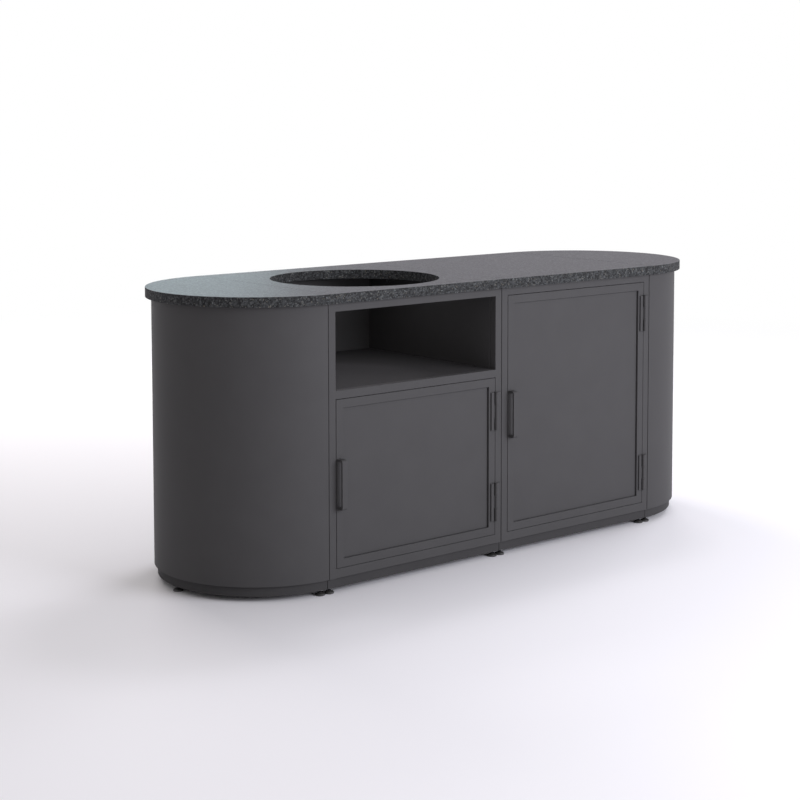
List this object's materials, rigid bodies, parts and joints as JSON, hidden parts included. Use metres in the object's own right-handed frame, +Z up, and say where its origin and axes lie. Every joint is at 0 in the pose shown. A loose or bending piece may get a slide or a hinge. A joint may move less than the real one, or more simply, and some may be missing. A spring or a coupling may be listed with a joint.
{
  "type": "modular outdoor kitchen",
  "caption": "Free-standing modular outdoor kitchen with half-round ends, stone worktop with a round grill cut-out over an open niche, hinged inset doors and levelling feet.",
  "frame": {"origin": "on the floor under the middle of the row of modules", "axes": "+X to the right along the front, +Y to the back, +Z up"},
  "size_m": [2.0638, 0.712, 0.89],
  "materials": {
    "granite": "honed dark speckled granite",
    "powder_coat": "matt anthracite powder coat",
    "foot_nylon": "black moulded nylon",
    "zinc_steel": "zinc plated steel",
    "catch_plastic": "black moulded plastic"
  },
  "bodies": {
    "carcass": {"cupboard_back_panel": "powder_coat", "cupboard_base_frame": "powder_coat", "cupboard_floor": "powder_coat", "cupboard_frame": "powder_coat", "cupboard_left_panel": "powder_coat", "cupboard_right_panel": "powder_coat", "foot_inserts": "zinc_steel", "kamado_back_panel": "powder_coat", "kamado_base_frame": "powder_coat", "kamado_floor": "powder_coat", "kamado_frame": "powder_coat", "kamado_left_panel": "powder_coat", "kamado_right_panel": "powder_coat", "kamado_shelf": "powder_coat", "kamado_shelf_bearers": "powder_coat", "left_end_base_frame": "powder_coat", "left_end_floor": "powder_coat", "left_end_frame": "powder_coat", "left_end_inner_panel": "powder_coat", "left_end_skin": "powder_coat", "lower_door_catch": "catch_plastic", "lower_door_hinge_frame_leaves": "powder_coat", "lower_door_hinge_pins": "zinc_steel", "module_bolts": "zinc_steel", "right_end_base_frame": "powder_coat", "right_end_floor": "powder_coat", "right_end_frame": "powder_coat", "right_end_inner_panel": "powder_coat", "right_end_skin": "powder_coat", "tall_door_catch": "catch_plastic", "tall_door_hinge_frame_leaves": "powder_coat", "tall_door_hinge_pins": "zinc_steel", "worktop_cupboard": "granite", "worktop_kamado": "granite", "worktop_left_end": "granite", "worktop_right_end": "granite"},
    "lower_door": {"lower_door_frame": "powder_coat", "lower_door_panel": "powder_coat", "lower_door_handle": "powder_coat", "lower_door_handle_screws": "zinc_steel", "lower_door_hinge_door_leaves": "powder_coat"},
    "tall_door": {"tall_door_frame": "powder_coat", "tall_door_panel": "powder_coat", "tall_door_handle": "powder_coat", "tall_door_handle_screws": "zinc_steel", "tall_door_hinge_door_leaves": "powder_coat"},
    "foot_cupboard_back_left": {"foot_cupboard_back_left": "foot_nylon"},
    "foot_cupboard_back_right": {"foot_cupboard_back_right": "foot_nylon"},
    "foot_cupboard_front_left": {"foot_cupboard_front_left": "foot_nylon"},
    "foot_cupboard_front_right": {"foot_cupboard_front_right": "foot_nylon"},
    "foot_kamado_back_left": {"foot_kamado_back_left": "foot_nylon"},
    "foot_kamado_back_right": {"foot_kamado_back_right": "foot_nylon"},
    "foot_kamado_front_left": {"foot_kamado_front_left": "foot_nylon"},
    "foot_kamado_front_right": {"foot_kamado_front_right": "foot_nylon"},
    "foot_left_end_back": {"foot_left_end_back": "foot_nylon"},
    "foot_left_end_front": {"foot_left_end_front": "foot_nylon"},
    "foot_left_end_tip": {"foot_left_end_tip": "foot_nylon"},
    "foot_right_end_back": {"foot_right_end_back": "foot_nylon"},
    "foot_right_end_front": {"foot_right_end_front": "foot_nylon"},
    "foot_right_end_tip": {"foot_right_end_tip": "foot_nylon"}
  },
  "joints": [
    {"name": "lower_door_swing", "type": "hinge", "parent": "carcass", "child": "lower_door", "pos_m": [-0.02675, -0.3403, 0.3265], "axis": [0, 0, 1], "range_deg": [0, 110]},
    {"name": "tall_door_swing", "type": "hinge", "parent": "carcass", "child": "tall_door", "pos_m": [0.65325, -0.3403, 0.455], "axis": [0, 0, 1], "range_deg": [0, 110]},
    {"name": "foot_left_end_back_screw", "type": "slide", "parent": "carcass", "child": "foot_left_end_back", "axis": [0, 0, -1], "range_m": [-0.006, 0.009]},
    {"name": "foot_left_end_front_screw", "type": "slide", "parent": "carcass", "child": "foot_left_end_front", "axis": [0, 0, -1], "range_m": [-0.006, 0.009]},
    {"name": "foot_left_end_tip_screw", "type": "slide", "parent": "carcass", "child": "foot_left_end_tip", "axis": [0, 0, -1], "range_m": [-0.006, 0.009]},
    {"name": "foot_kamado_back_left_screw", "type": "slide", "parent": "carcass", "child": "foot_kamado_back_left", "axis": [0, 0, -1], "range_m": [-0.006, 0.009]},
    {"name": "foot_kamado_back_right_screw", "type": "slide", "parent": "carcass", "child": "foot_kamado_back_right", "axis": [0, 0, -1], "range_m": [-0.006, 0.009]},
    {"name": "foot_kamado_front_left_screw", "type": "slide", "parent": "carcass", "child": "foot_kamado_front_left", "axis": [0, 0, -1], "range_m": [-0.006, 0.009]},
    {"name": "foot_kamado_front_right_screw", "type": "slide", "parent": "carcass", "child": "foot_kamado_front_right", "axis": [0, 0, -1], "range_m": [-0.006, 0.009]},
    {"name": "foot_cupboard_back_left_screw", "type": "slide", "parent": "carcass", "child": "foot_cupboard_back_left", "axis": [0, 0, -1], "range_m": [-0.006, 0.009]},
    {"name": "foot_cupboard_back_right_screw", "type": "slide", "parent": "carcass", "child": "foot_cupboard_back_right", "axis": [0, 0, -1], "range_m": [-0.006, 0.009]},
    {"name": "foot_cupboard_front_left_screw", "type": "slide", "parent": "carcass", "child": "foot_cupboard_front_left", "axis": [0, 0, -1], "range_m": [-0.006, 0.009]},
    {"name": "foot_cupboard_front_right_screw", "type": "slide", "parent": "carcass", "child": "foot_cupboard_front_right", "axis": [0, 0, -1], "range_m": [-0.006, 0.009]},
    {"name": "foot_right_end_back_screw", "type": "slide", "parent": "carcass", "child": "foot_right_end_back", "axis": [0, 0, -1], "range_m": [-0.006, 0.009]},
    {"name": "foot_right_end_front_screw", "type": "slide", "parent": "carcass", "child": "foot_right_end_front", "axis": [0, 0, -1], "range_m": [-0.006, 0.009]},
    {"name": "foot_right_end_tip_screw", "type": "slide", "parent": "carcass", "child": "foot_right_end_tip", "axis": [0, 0, -1], "range_m": [-0.006, 0.009]}
  ]
}
